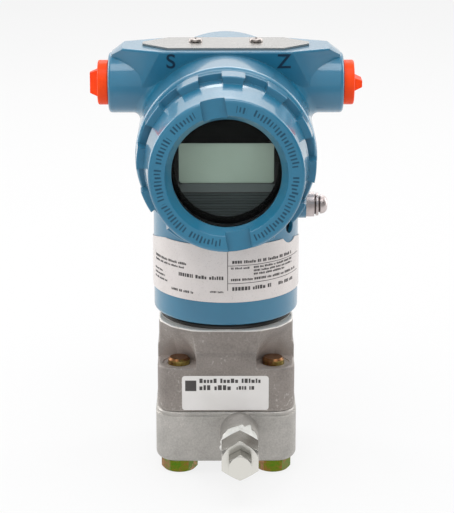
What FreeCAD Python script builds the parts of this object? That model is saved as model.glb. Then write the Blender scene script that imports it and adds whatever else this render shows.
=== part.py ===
# Gauge pressure transmitter: a die-cast housing with two covered compartments, which turns on a
# cast sensor module that is bolted to a process flange with a vent valve.
# Millimetres. +Z is up, the display faces -Y, and the origin is on the process port's axis at the
# underside of the flange.
import FreeCAD, Part
import math
import os

V = FreeCAD.Vector

# Clearances
same_place = 0.01
running_clearance = 0.08
free_clearance = 0.3
hole_clearance = 0.2

# Process flange
flange_half = 35.6
flange_height = 27.3
flange_corner = 11.0
flange_foot_round = 4.0
flange_lip = 2.0
flange_lip_step = 0.7
port_radius = 6.0
port_depth = 14.0
port_boss_radius = 17.0
port_boss_height = 2.0
chamber_radius = 16.0
chamber_depth = 1.6
passage_radius = 2.5
bracket_hole_radius = 4.2
bracket_hole_depth = 13.0
bracket_hole_spacing = 22.0
bracket_hole_height = 12.0
seal_groove_inner = 18.0
seal_width = 2.5
seal_depth = 1.6

# Flange bolts
bolt_radius = 5.55
bolt_offset = 23.8
bolt_head_flats = 16.0
bolt_head_height = 6.4
bolt_stand_out = 2.8
bolt_end_chamfer = 1.0

# Sensor module
module_half = 34.6
module_corner = 10.0
ear_height = 50.4
module_top = 72.8
module_radius = 33.6
module_rim_chamfer = 0.7
pad_half_width = 15.5
pad_set_back = 0.5
pad_crease_height = 56.4
pad_slope = 2.0
head_top = 70.6
head_round = 1.0
ear_round = 1.2
scoop_depth_radius = 26.0
scoop_base_half = 9.0
scoop_crown_half = 0.8
scoop_crown_radius = 38.5
scoop_pad_trim = 0.4
scoop_run_out = 1.25
spot_face_radius = 8.2
spot_face_depth = 0.5
seam_chamfer = 0.6
spigot_radius = 28.0
spigot_length = 15.0
neck_ring_section = 1.05
capsule_radius = 21.0
capsule_height = 18.0
diaphragm_thickness = 0.4
sticker_width = 43.6
sticker_height = 18.2
sticker_low = 1.1
sticker_centre = -0.4
sticker_corner = 1.6
sticker_thickness = 0.15

# Vent valve
vent_x = 6.6
vent_drop = 9.9
vent_boss_radius = 9.7
vent_boss_reach = 52.0
vent_thread_radius = 6.6
vent_seat_depth = 14.0
tape_length = 8.4
tape_thickness = 1.3
vent_seat_flats = 18.0
vent_seat_length = 16.0
vent_stem_flats = 11.0
vent_stem_length = 7.4
vent_stem_radius = 3.6
vent_bore_radius = 2.0
vent_ball_radius = 2.6
hex_land = 0.2
hex_chamfer_angle = 30.0

# Electronics housing
axis_height = 163.0
barrel_radius = 43.6
barrel_half_length = 52.0
barrel_end_round = 3.5
bore_radius = 36.0
front_chamber_depth = 32.0
divider_thickness = 9.0
skirt_radius = 36.7
skirt_bottom = 73.7
skirt_round = 1.6
spigot_bore_depth = 22.0
cable_passage_radius = 6.0
cable_passage_y = -21.0
boss_radius = 15.1
boss_reach = 58.2
boss_rise = 26.4
boss_round = 1.8
boss_root_round = 3.2
skirt_root_round = 4.0
conduit_radius = 10.0

# Top pad with its swept flanks
pad_over_barrel = 1.7
pad_over_boss = 3.8
pad_half_depth = 19.8
pad_front_half = 32.0
pad_end_back = 8.0
pad_end_depth = 11.6
pad_end_bulge = 1.7
shoulder_front_half = 34.0
shoulder_half_depth = 18.9
shoulder_end_back = 1.9
shoulder_end_depth = 7.0
shoulder_end_bulge = 0.4
pad_round = 0.9
flank_half_depth = 15.0
flank_front_half = 41.7
flank_end_back = 2.2
flank_end_depth = 2.4
flank_end_bulge = 0.2

# Label round the neck
label_foot = 12.2
label_drop = 4.4
label_slope_start = 21.0
label_side_drop = 4.2
label_thickness = 0.4
label_gap_half = 35.0
label_notch_radius = 8.2

# Covers
thread_length = 12.0
spigot_wall = 3.4
cover_gap = 0.3
lug_radius = 43.0
lug_draft = 0.5
lug_round = 0.8
lug_collar_radius = 42.0
lug_collar_length = 4.0
lug_length = 10.0
lug_count = 12
lug_floor_radius = 38.6
lug_phase = -10.5
shoulder_radius = 38.9
shoulder_length = 3.6
face_radius = 36.2
face_reach = 37.0
face_round = 1.6
face_inner_round = 0.6
face_inner_radius = 28.6
face_slot_angle = 18.0
face_slot_depth = 2.6
window_radius = 25.6
window_recess = 6.0
glass_radius = 29.6
glass_thickness = 6.0
gasket_thickness = 0.6
retainer_length = 3.6
retainer_inner_radius = 26.6
cover_ring_section = 1.1
rear_reach = 19.0
rear_rim_radius = 41.3
rear_rim_length = 9.4
rear_lug_radius = 39.4
rear_lug_length = 7.0
rear_lug_floor_radius = 37.4
rear_face_radius = 35.0
rear_recess_radius = 29.0
rear_recess = 1.5
rear_wall = 6.0

# Display
bezel_front_reach = 15.0
bezel_thickness = 4.0
bezel_radius = 31.2
bezel_face_radius = 26.2
bezel_step = 2.0
lcd_width = 44.8
lcd_height = 19.7
lcd_rise = 1.0
lcd_corner = 1.6
lcd_margin = 1.4
lcd_thickness = 1.6
sill_height = 3.4
sill_slope = 1.6
groove_count = 5
groove_pitch = 2.2
groove_depth = 0.6
board_thickness = 1.6
board_radius = 30.0
post_radius = 2.6
post_half_span = 22.0
post_drop = 17.0

# Electronics and terminals
electronics_radius = 34.4
electronics_gap = 0.8
terminal_radius = 33.6
terminal_depth = 22.0
terminal_top = 12.0
terminal_deck_height = 4.0
terminal_deck_half = 21.0
terminal_pitch = 14.0
terminal_screw_radius = 3.4
terminal_screw_head = 2.4
terminal_row_drop = 6.0
fixing_half_span = 24.0
fixing_drop = 17.0
fixing_radius = 2.6
fixing_head = 1.8
inner_ground_gap = 0.6
inner_ground_z = 0.0

# Nameplate, its screws and the adjustment buttons
plate_half_length = 41.2
plate_half_depth = 14.8
plate_front_half = 28.8
plate_end_half = 2.6
plate_thickness = 1.0
plate_screw_x = 15.0
plate_screw_y = 2.6
plate_screw_radius = 1.6
plate_screw_head_radius = 3.4
plate_screw_head = 1.4
plate_screw_depth = 6.5
button_x = 27.5
button_y = 4.0
button_radius = 3.9
button_height = 2.8
button_recess = 1.0
spring_inner_radius = 1.7
spring_outer_radius = 2.9
spring_height = 2.0

# Conduit plugs
plug_collar_radius = 11.1
plug_collar_length = 5.4
plug_collar_round = 1.0
plug_shank_length = 12.0
plug_wing_height = 4.0
plug_wing_base = (14.0, 7.4)
plug_wing_tip = (10.2, 3.2)

# Rounding of pan heads, as a share of the head's height
pan_round_share = 0.45

# Ground screw and rotation lock
ground_rise = -37.0
ground_y = 2.0
ground_boss_radius = 7.0
ground_boss_reach = 40.6
ground_clamp = (6.3, 4.2)
ground_spring_washer = (5.0, 0.9)
ground_flat_washer = (5.8, 1.2)
ground_head_radius = 4.8
ground_head_length = 4.6
ground_shank_radius = 2.5
ground_shank_length = 8.0
lock_angle = -30.0
lock_rise = -43.0
lock_screw_radius = 3.4
lock_screw_length = 5.0
lock_screw_sink = 2.0

# Places worked out from the sizes above
module_bottom = flange_height
vent_height = flange_height - vent_drop
spigot_top = module_top + spigot_length
conduit_height = axis_height + boss_rise
pad_top = max(axis_height + barrel_radius + pad_over_barrel, conduit_height + boss_radius + pad_over_boss)
pad_end = boss_reach - pad_end_back
head_half = module_half - pad_set_back
head_corner = (head_half * math.sqrt(2) - scoop_crown_radius) / (math.sqrt(2) - 1)
ground_stack = [ground_clamp, ground_spring_washer, ground_flat_washer]
shoulder_end = boss_reach - shoulder_end_back
flank_end = boss_reach - flank_end_back
divider_front = front_chamber_depth - barrel_half_length
divider_rear = divider_front + divider_thickness
electronics_depth = front_chamber_depth - thread_length - electronics_gap
label_low = skirt_bottom + label_foot
label_high = axis_height - barrel_radius - label_drop
inner_ground_x = terminal_deck_half + terminal_screw_radius + inner_ground_gap
spigot_outer = bore_radius - running_clearance
spigot_inner = spigot_outer - spigot_wall
plate_low = pad_top + running_clearance
plate_top = plate_low + plate_thickness


def save(node, shape):
    shape.exportStep("parts/" + node + ".step")


def polygon_face(points):
    return Part.Face(Part.makePolygon(points + [points[0]]))


def rod(radius, start, end):
    return Part.makeCylinder(radius, (end - start).Length, start, end - start)


def tube(outer, inner, start, end):
    return rod(outer, start, end).cut(rod(inner, start, end))


def turned_on_barrel(profile):
    face = polygon_face([V(radius, y, axis_height) for radius, y in profile])
    return face.revolve(V(0, 0, axis_height), V(0, 1, 0), 360)


def hexagon(across_flats, start, length, along, point_to):
    corner = across_flats / math.sqrt(3)
    side = along.cross(point_to)
    points = []
    for step in range(6):
        angle = math.radians(60 * step)
        points.append(start + point_to * (corner * math.cos(angle)) + side * (corner * math.sin(angle)))
    return polygon_face(points).extrude(along * length)


def turned_hexagon(across_flats, start, length, along, point_to, chamfer_start, chamfer_end):
    blank = hexagon(across_flats, start, length, along, point_to)
    flat = across_flats / 2 - hex_land
    corner = across_flats / math.sqrt(3)
    rise = (corner - flat) * math.tan(math.radians(hex_chamfer_angle))
    profile = [V(0, 0, 0), V(flat if chamfer_start else corner, 0, 0)]
    if chamfer_start:
        profile.append(V(corner, 0, rise))
    if chamfer_end:
        profile.append(V(corner, 0, length - rise))
    profile.append(V(flat if chamfer_end else corner, 0, length))
    profile.append(V(0, 0, length))
    envelope = polygon_face(profile).revolve(V(0, 0, 0), V(0, 0, 1), 360)
    envelope.Placement = FreeCAD.Placement(start, FreeCAD.Rotation(V(0, 0, 1), along))
    return blank.common(envelope)


def rounded_block(half_x, half_y, corner, low, high):
    block = Part.makeBox(2 * half_x, 2 * half_y, high - low, V(-half_x, -half_y, low))
    upright = [edge for edge in block.Edges if abs(edge.tangentAt(0).z) > 0.9]
    return block.makeFillet(corner, upright)


def edges_at_height(shape, z):
    return [edge for edge in shape.Edges
            if abs(edge.BoundBox.ZMin - z) + abs(edge.BoundBox.ZMax - z) < same_place]


def corners(offset):
    return [(sx * offset, sy * offset) for sx in (-1, 1) for sy in (-1, 1)]


def bolt_hole(radius, low, high):
    holes = [rod(radius, V(x, y, low), V(x, y, high)) for x, y in corners(bolt_offset)]
    return Part.makeCompound(holes)


# Process flange: a squared casting with a rounded foot, a stepped lip, a round boss round its port
# underneath and a long boss for the vent valve in front
def process_flange():
    body = rounded_block(flange_half, flange_half, flange_corner, 0, flange_height - flange_lip)
    body = body.makeFillet(flange_foot_round, edges_at_height(body, 0))
    lip_half = flange_half - flange_lip_step
    lip_low = flange_height - flange_lip
    lip = rounded_block(lip_half, lip_half, flange_corner - flange_lip_step, lip_low, flange_height)
    lip = lip.makeChamfer(seam_chamfer, edges_at_height(lip, flange_height))
    port_boss = rod(port_boss_radius, V(0, 0, -port_boss_height), V(0, 0, flange_height / 2))
    vent_boss = rod(vent_boss_radius, V(vent_x, -vent_boss_reach, vent_height), V(vent_x, 0, vent_height))
    body = body.fuse([lip, port_boss, vent_boss]).removeSplitter()
    seat_end = vent_seat_depth - vent_boss_reach
    cuts = [
        rod(port_radius, V(0, 0, -port_boss_height), V(0, 0, port_depth - port_boss_height)),
        rod(passage_radius, V(0, 0, 0), V(0, 0, flange_height)),
        rod(chamber_radius, V(0, 0, flange_height - chamber_depth), V(0, 0, flange_height)),
        rod(vent_thread_radius, V(vent_x, -vent_boss_reach, vent_height), V(vent_x, seat_end, vent_height)),
        rod(passage_radius, V(vent_x, seat_end, vent_height), V(vent_x, 0, vent_height)),
        rod(passage_radius, V(vent_x, 0, vent_height), V(vent_x, 0, flange_height)),
        bolt_hole(bolt_radius + hole_clearance, 0, flange_height),
        tube(seal_groove_inner + seal_width, seal_groove_inner, V(0, 0, flange_height - seal_depth),
             V(0, 0, flange_height)),
    ]
    for side in (-0.5, 0.5):
        x = side * bracket_hole_spacing
        cuts.append(rod(bracket_hole_radius, V(x, flange_half - bracket_hole_depth, bracket_hole_height),
                        V(x, flange_half, bracket_hole_height)))
    return body.cut(cuts)


def flange_seal():
    return tube(seal_groove_inner + seal_width - running_clearance, seal_groove_inner + running_clearance,
                V(0, 0, flange_height - seal_depth), V(0, 0, flange_height))


def flange_bolts():
    bolts = []
    top = ear_height + bolt_stand_out
    for x, y in corners(bolt_offset):
        shank = rod(bolt_radius, V(x, y, 0), V(x, y, top))
        shank = shank.makeChamfer(bolt_end_chamfer, edges_at_height(shank, top))
        head = turned_hexagon(bolt_head_flats, V(x, y, 0), bolt_head_height, V(0, 0, -1), V(1, 0, 0),
                              False, True)
        bolts.append(shank.fuse(head).removeSplitter())
    return Part.makeCompound(bolts)


# Sensor module: a square foot with four bolt ears under a round head, which has four flat pads and
# a tent-shaped scoop above each ear
def scoop_outline(back, half, z):
    pad_edge = pad_half_width - scoop_pad_trim
    out = back + ((module_half + pad_edge) / math.sqrt(2) - back) * scoop_run_out
    side = half + ((module_half - pad_edge) / math.sqrt(2) - half) * scoop_run_out
    far = out + module_half
    far_side = side + module_half
    points = [V(back, -half, z), V(out, -side, z), V(far, -far_side, z),
              V(far, far_side, z), V(out, side, z), V(back, half, z)]
    return Part.makePolygon(points + [points[0]])


def scoop(angle):
    base = scoop_outline(scoop_depth_radius, scoop_base_half, ear_height)
    crown = scoop_outline(scoop_crown_radius, scoop_crown_half, head_top)
    cutter = Part.makeLoft([base, crown], True, True)
    cutter.rotate(V(0, 0, 0), V(0, 0, 1), angle)
    return cutter


def module_pad(turn):
    low = ear_height - ear_round
    high = pad_crease_height + pad_slope
    side = polygon_face([V(0, -pad_half_width, low), V(module_half, -pad_half_width, low),
                         V(module_half, -pad_half_width, pad_crease_height),
                         V(head_half, -pad_half_width, high), V(0, -pad_half_width, high)])
    pad = side.extrude(V(0, 2 * pad_half_width, 0))
    pad.rotate(V(0, 0, 0), V(0, 0, 1), 90 * turn)
    return pad


def sensor_module():
    foot = rounded_block(module_half, module_half, module_corner, module_bottom, ear_height)
    foot = foot.makeChamfer(seam_chamfer, edges_at_height(foot, module_bottom))
    foot = foot.makeFillet(ear_round, edges_at_height(foot, ear_height))
    head = rounded_block(head_half, head_half, head_corner, ear_height, head_top)
    head = head.makeFillet(head_round, edges_at_height(head, head_top))
    rim = rod(module_radius, V(0, 0, ear_height), V(0, 0, module_top))
    rim = rim.makeChamfer(module_rim_chamfer, edges_at_height(rim, module_top))
    pads = [module_pad(turn) for turn in range(4)]
    head = head.fuse([rim] + pads).cut([scoop(45 + 90 * step) for step in range(4)])
    groove_z = module_top + spigot_length / 2
    ring_mid = spigot_radius - running_clearance - neck_ring_section
    groove_floor = ring_mid - neck_ring_section - running_clearance
    spigot = rod(spigot_radius - running_clearance, V(0, 0, head_top), V(0, 0, spigot_top))
    groove_half = neck_ring_section + running_clearance
    spigot = spigot.cut(tube(spigot_radius, groove_floor, V(0, 0, groove_z - groove_half),
                             V(0, 0, groove_z + groove_half)))
    body = foot.fuse([head, spigot]).removeSplitter()
    cavity_top = module_bottom + capsule_height + free_clearance
    spot_faces = [rod(spot_face_radius, V(x, y, ear_height - spot_face_depth), V(x, y, ear_height))
                  for x, y in corners(bolt_offset)]
    cuts = [
        rod(capsule_radius + running_clearance, V(0, 0, module_bottom), V(0, 0, cavity_top)),
        rod(cable_passage_radius, V(0, 0, cavity_top), V(0, 0, spigot_top)),
        bolt_hole(bolt_radius + hole_clearance, module_bottom, ear_height),
    ]
    return body.cut(cuts + spot_faces)


def neck_ring():
    middle = spigot_radius - running_clearance - neck_ring_section
    return Part.makeTorus(middle, neck_ring_section, V(0, 0, module_top + spigot_length / 2))


def sensor_capsule():
    low = module_bottom + diaphragm_thickness
    return rod(capsule_radius, V(0, 0, low), V(0, 0, module_bottom + capsule_height))


def diaphragm():
    high = module_bottom + diaphragm_thickness
    return rod(seal_groove_inner - running_clearance, V(0, 0, module_bottom), V(0, 0, high))


def module_sticker():
    low = module_bottom + sticker_low
    plate = Part.makeBox(sticker_width, sticker_thickness, sticker_height,
                         V(sticker_centre - sticker_width / 2, -module_half - sticker_thickness, low))
    short = [edge for edge in plate.Edges if abs(edge.tangentAt(0).y) > 0.9]
    return plate.makeFillet(sticker_corner, short)


# Vent valve: a large hexagon screwed into the flange's boss, with a small hexagon stem in its end
def vent_point(y):
    return V(vent_x, y, vent_height)


vent_tape_end = -vent_boss_reach - tape_length
vent_seat_end = vent_tape_end - vent_seat_length
vent_stem_tip = vent_seat_end - free_clearance - vent_stem_length
vent_inner_end = vent_seat_depth - vent_boss_reach - free_clearance
vent_ball_y = vent_inner_end - vent_seat_depth / 2


def vent_seat():
    shank = rod(vent_thread_radius - running_clearance, vent_point(vent_tape_end), vent_point(vent_inner_end))
    head = turned_hexagon(vent_seat_flats, vent_point(vent_seat_end), vent_seat_length, V(0, 1, 0),
                          V(0, 0, 1), True, True)
    body = shank.fuse(head).removeSplitter()
    bore_end = vent_ball_y + vent_ball_radius + free_clearance
    bore = rod(vent_stem_radius + running_clearance, vent_point(vent_seat_end), vent_point(bore_end))
    drain = rod(vent_bore_radius, vent_point(vent_seat_end), vent_point(vent_inner_end))
    return body.cut([bore, drain])


def vent_ball():
    return Part.makeSphere(vent_ball_radius, vent_point(vent_ball_y))


def vent_stem():
    ball_back = vent_ball_y - vent_ball_radius - running_clearance
    shank = rod(vent_stem_radius, vent_point(vent_seat_end - free_clearance), vent_point(ball_back))
    head = turned_hexagon(vent_stem_flats, vent_point(vent_stem_tip), vent_stem_length, V(0, 1, 0),
                          V(0, 0, 1), True, False)
    return shank.fuse(head).removeSplitter()


def thread_tape():
    inner = vent_thread_radius
    return tube(inner + tape_thickness, inner, vent_point(vent_tape_end), vent_point(-vent_boss_reach))


# Electronics housing: a barrel with a compartment at each end, a round skirt below, a conduit boss on
# each side and a flat top pad whose swept flanks run down into the bosses
def pad_outline(front_half, depth, end, end_depth, bulge, z):
    edges = []
    for side in (1, -1):
        front = V(side * front_half, -side * depth, z)
        near = V(side * end, -side * end_depth, z)
        tip = V(side * (end + bulge), 0, z)
        far = V(side * end, side * end_depth, z)
        back = V(side * front_half, side * depth, z)
        edges += [Part.makeLine(front, near), Part.Arc(near, tip, far).toShape(), Part.makeLine(far, back),
                  Part.makeLine(back, V(-side * front_half, side * depth, z))]
    return Part.Wire(edges)


def top_block():
    crown = pad_outline(pad_front_half, pad_half_depth, pad_end, pad_end_depth, pad_end_bulge, pad_top)
    flank = pad_outline(flank_front_half, flank_half_depth, flank_end, flank_end_depth, flank_end_bulge,
                        conduit_height)
    shoulder = pad_outline(shoulder_front_half, shoulder_half_depth, shoulder_end, shoulder_end_depth,
                           shoulder_end_bulge, conduit_height + boss_radius)
    upper = Part.makeLoft([shoulder, crown], True, True)
    upper = upper.makeFillet(pad_round, edges_at_height(upper, pad_top))
    return upper.fuse(Part.makeLoft([flank, shoulder], True, True))


def lock_point(radius):
    angle = math.radians(lock_angle)
    return V(radius * math.cos(angle), radius * math.sin(angle), axis_height + lock_rise)


def ground_point(x):
    return V(x, ground_y, axis_height + ground_rise)


def off_axis(point, line):
    start, along, radius = line
    return abs((point - start).cross(along).Length - radius)


def seams(body, first, second):
    found = []
    for edge in body.Edges:
        middle = edge.valueAt((edge.FirstParameter + edge.LastParameter) / 2)
        if off_axis(middle, first) + off_axis(middle, second) < same_place:
            found.append(edge)
    return found


def housing_outside():
    barrel = rod(barrel_radius, V(0, -barrel_half_length, axis_height), V(0, barrel_half_length, axis_height))
    ends = [edge for edge in barrel.Edges if abs(edge.BoundBox.YMax - edge.BoundBox.YMin) < same_place]
    barrel = barrel.makeFillet(barrel_end_round, ends)
    skirt = rod(skirt_radius, V(0, 0, skirt_bottom), V(0, 0, axis_height))
    skirt = skirt.makeFillet(skirt_round, edges_at_height(skirt, skirt_bottom))
    bosses = rod(boss_radius, V(-boss_reach, 0, conduit_height), V(boss_reach, 0, conduit_height))
    rims = [edge for edge in bosses.Edges if abs(edge.BoundBox.XMax - edge.BoundBox.XMin) < same_place]
    bosses = bosses.makeFillet(boss_round, rims)
    body = barrel.fuse([skirt, bosses]).removeSplitter()
    barrel_line = (V(0, 0, axis_height), V(0, 1, 0), barrel_radius)
    boss_line = (V(0, 0, conduit_height), V(1, 0, 0), boss_radius)
    skirt_line = (V(0, 0, 0), V(0, 0, 1), skirt_radius)
    body = body.makeFillet(boss_root_round, seams(body, barrel_line, boss_line))
    body = body.makeFillet(skirt_root_round, seams(body, barrel_line, skirt_line))
    ground_boss = rod(ground_boss_radius, ground_point(0), ground_point(ground_boss_reach))
    return body.fuse([top_block(), ground_boss]).removeSplitter()


def electronics_housing():
    body = housing_outside()
    front = V(0, -barrel_half_length, axis_height)
    rear = V(0, barrel_half_length, axis_height)
    cuts = [
        rod(bore_radius, front, V(0, divider_front, axis_height)),
        rod(bore_radius, V(0, divider_rear, axis_height), rear),
        rod(conduit_radius, V(-boss_reach, 0, conduit_height), V(boss_reach, 0, conduit_height)),
        rod(spigot_radius, V(0, 0, skirt_bottom), V(0, 0, skirt_bottom + spigot_bore_depth)),
        rod(cable_passage_radius, V(0, cable_passage_y, skirt_bottom), V(0, cable_passage_y, axis_height)),
        rod(lock_screw_radius + running_clearance, lock_point(spigot_radius), lock_point(barrel_radius)),
        rod(ground_shank_radius + running_clearance, ground_point(ground_boss_reach - ground_shank_length),
            ground_point(ground_boss_reach)),
    ]
    for side in (-1, 1):
        x = side * button_x
        floor = pad_top - button_recess - button_height - spring_height
        cuts.append(rod(button_radius + running_clearance, V(x, button_y, floor), V(x, button_y, pad_top)))
        x = side * plate_screw_x
        floor = pad_top - plate_screw_depth
        cuts.append(rod(plate_screw_radius + running_clearance, V(x, plate_screw_y, floor),
                        V(x, plate_screw_y, pad_top)))
    return body.cut(cuts)


def label_band():
    low = V(0, 0, label_low)
    high = V(0, 0, label_high)
    inner = skirt_radius + running_clearance
    band = tube(inner + label_thickness, inner, low, high)
    gap_half = skirt_radius * math.sin(math.radians(label_gap_half))
    gap = Part.makeBox(2 * gap_half, 2 * skirt_radius, label_high - label_low, V(-gap_half, 0, label_low))
    notch = rod(label_notch_radius, lock_point(0), lock_point(barrel_radius))
    reach = inner + 2 * label_thickness
    fall = label_side_drop * (label_slope_start + reach) / label_slope_start
    wedge = polygon_face([V(-reach, -label_slope_start, label_high), V(-reach, reach, label_high),
                          V(-reach, reach, label_high - fall)])
    return band.cut([gap, notch, wedge.extrude(V(2 * reach, 0, 0))])


# Covers, laid out by their distance outwards from the end of the barrel
def cover_y(side, reach):
    return side * (barrel_half_length + reach)


def cover_ring_middle():
    return spigot_outer - cover_ring_section


def spigot_profile():
    ring_floor = cover_ring_middle() - cover_ring_section - running_clearance
    ring_room = 2 * (cover_ring_section + running_clearance)
    ring_start = cover_gap - ring_room
    return [(spigot_inner, -thread_length), (spigot_outer, -thread_length), (spigot_outer, ring_start),
            (ring_floor, ring_start), (ring_floor, cover_gap)]


def lug_notches(side, radius, floor_radius, start, length):
    half = radius * math.sin(math.radians(90 / lug_count))
    cutters = []
    for step in range(lug_count):
        low = min(cover_y(side, start), cover_y(side, start + length))
        notch = Part.makeBox(2 * half, length, radius, V(-half, low, axis_height + floor_radius))
        notch.rotate(V(0, 0, axis_height), V(0, 1, 0), lug_phase + step * 360 / lug_count)
        cutters.append(notch)
    return cutters


def rings(body, radius, y):
    return [edge for edge in body.Edges
            if edge.Closed and abs(edge.BoundBox.XMax - radius) + abs(edge.BoundBox.YMax - y) < same_place]


def display_cover():
    seat = face_reach - window_recess
    chamber_end = seat - gasket_thickness - glass_thickness - retainer_length - free_clearance
    glass_bore = glass_radius + hole_clearance
    collar = cover_gap + lug_collar_length
    shoulder = collar + lug_length
    outline = spigot_profile() + [
        (lug_collar_radius, cover_gap), (lug_collar_radius, collar), (lug_radius, collar),
        (lug_radius - lug_draft, shoulder), (shoulder_radius, shoulder),
        (shoulder_radius - lug_draft, shoulder + shoulder_length), (face_radius, face_reach),
        (face_inner_radius, face_reach), (window_radius, seat), (glass_bore, seat), (glass_bore, chamber_end),
        (spigot_inner, chamber_end)]
    body = turned_on_barrel([(radius, cover_y(-1, reach)) for radius, reach in outline])
    body = body.makeFillet(face_round, rings(body, face_radius, cover_y(-1, face_reach)))
    body = body.makeFillet(face_inner_round, rings(body, face_inner_radius, cover_y(-1, face_reach)))
    body = body.makeFillet(lug_round, rings(body, lug_radius - lug_draft, cover_y(-1, shoulder)))
    slots = []
    half = face_radius * math.sin(math.radians(face_slot_angle / 2))
    for turn in (0, 180):
        slot = Part.makeBox(2 * half, face_slot_depth, face_radius,
                            V(-half, cover_y(-1, face_reach), axis_height + window_radius))
        slot.rotate(V(0, 0, axis_height), V(0, 1, 0), lug_phase + turn)
        slots.append(slot)
    notches = lug_notches(-1, lug_radius, lug_floor_radius, collar, lug_length)
    return body.cut(notches + slots)


def glass_stack(start, length, outer, inner):
    near = V(0, cover_y(-1, start - length), axis_height)
    far = V(0, cover_y(-1, start), axis_height)
    if inner:
        return tube(outer, inner, near, far)
    return rod(outer, near, far)


def cover_ring(side):
    reach = cover_gap - cover_ring_section - running_clearance
    centre = V(0, cover_y(side, reach), axis_height)
    return Part.makeTorus(cover_ring_middle(), cover_ring_section, centre, V(0, 1, 0))


def terminal_cover():
    end = rear_reach
    inside = end - rear_wall
    floor = end - rear_recess
    rim_end = cover_gap + rear_rim_length
    outline = spigot_profile() + [
        (rear_rim_radius, cover_gap), (rear_rim_radius, rim_end), (rear_lug_radius, rim_end + lug_round),
        (rear_lug_radius - lug_draft, rim_end + rear_lug_length), (rear_face_radius, end),
        (rear_recess_radius, end), (rear_recess_radius - rear_recess, floor), (0, floor), (0, inside),
        (spigot_inner - rear_wall / 2, inside), (spigot_inner, inside - rear_wall / 2)]
    body = turned_on_barrel([(radius, cover_y(1, reach)) for radius, reach in outline])
    body = body.makeFillet(lug_round, rings(body, rear_rim_radius, cover_y(1, rim_end)))
    notches = lug_notches(1, rear_lug_radius, rear_lug_floor_radius, rim_end + lug_round, rear_lug_length)
    return body.cut(notches)


# Display: a bezel with a sill and a ribbed apron under the screen, carried on two posts
def lcd_centre_z():
    return axis_height + lcd_rise


def upright_rectangle(width, height, corner, y, depth):
    block = Part.makeBox(width, depth, height, V(-width / 2, y, lcd_centre_z() - height / 2))
    short = [edge for edge in block.Edges if abs(edge.tangentAt(0).y) > 0.9]
    return block.makeFillet(corner, short)


def display_bezel():
    front = cover_y(-1, bezel_front_reach)
    step = V(0, front + bezel_step, axis_height)
    disc = rod(bezel_radius, step, V(0, front + bezel_thickness, axis_height))
    disc = disc.fuse(rod(bezel_face_radius, V(0, front, axis_height), step))
    opening = upright_rectangle(lcd_width, lcd_height, lcd_corner, front, bezel_thickness)
    pocket = upright_rectangle(lcd_width + 2 * lcd_margin, lcd_height + 2 * lcd_margin, lcd_corner,
                               front + bezel_thickness - lcd_thickness - hole_clearance, bezel_thickness)
    sill_top = lcd_centre_z() - lcd_height / 2
    sill_low = sill_top - sill_height
    half = lcd_width / 2
    sill_back = front + sill_slope
    sill = polygon_face([V(-half, front, sill_top), V(-half, sill_back, sill_top), V(-half, front, sill_low)])
    cuts = [opening, pocket, sill.extrude(V(lcd_width, 0, 0))]
    for step in range(groove_count):
        z = sill_low - (step + 1) * groove_pitch
        cuts.append(Part.makeBox(lcd_width, groove_depth, groove_pitch / 2, V(-half, front, z)))
    return disc.removeSplitter().cut(cuts)


def lcd_panel():
    back = cover_y(-1, bezel_front_reach) + bezel_thickness
    margin = 2 * (lcd_margin - hole_clearance)
    return upright_rectangle(lcd_width + margin, lcd_height + margin, lcd_corner, back - lcd_thickness,
                             lcd_thickness)


board_front = cover_y(-1, bezel_front_reach) + bezel_thickness
electronics_front = divider_front - electronics_depth


def display_board():
    return rod(board_radius, V(0, board_front, axis_height), V(0, board_front + board_thickness, axis_height))


def display_posts():
    posts = []
    z = axis_height - post_drop
    for side in (-1, 1):
        x = side * post_half_span
        posts.append(rod(post_radius, V(x, board_front + board_thickness, z), V(x, electronics_front, z)))
    return Part.makeCompound(posts)


def electronics_module():
    return rod(electronics_radius, V(0, electronics_front, axis_height), V(0, divider_front, axis_height))


# Terminal compartment
terminal_face = divider_rear + terminal_depth


def terminal_block():
    disc = rod(terminal_radius, V(0, divider_rear, axis_height), V(0, terminal_face, axis_height))
    keep = Part.makeBox(2 * terminal_radius, terminal_depth, terminal_radius + terminal_top,
                        V(-terminal_radius, divider_rear, axis_height - terminal_radius))
    deck_low = axis_height - terminal_row_drop - terminal_pitch / 2
    deck = Part.makeBox(2 * terminal_deck_half, terminal_deck_height, terminal_pitch,
                        V(-terminal_deck_half, terminal_face, deck_low))
    return disc.common(keep).fuse(deck).removeSplitter()


def pan_screw(radius, head, place, along):
    screw = rod(radius, place, place + along * head)
    rim = max(screw.Edges, key=lambda edge: (edge.CenterOfMass - place).dot(along))
    return screw.makeFillet(head * pan_round_share, [rim])


def terminal_screws():
    y = terminal_face + terminal_deck_height
    z = axis_height - terminal_row_drop
    places = [V(step * terminal_pitch, y, z) for step in (-1, 0, 1)]
    return Part.makeCompound([pan_screw(terminal_screw_radius, terminal_screw_head, place, V(0, 1, 0))
                              for place in places])


def terminal_fixings():
    z = axis_height - fixing_drop
    places = [V(side * fixing_half_span, terminal_face, z) for side in (-1, 1)]
    return Part.makeCompound([pan_screw(fixing_radius, fixing_head, place, V(0, 1, 0)) for place in places])


def inner_ground_screw():
    return pan_screw(terminal_screw_radius, terminal_screw_head,
                     V(inner_ground_x, terminal_face, axis_height + inner_ground_z), V(0, 1, 0))


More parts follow.
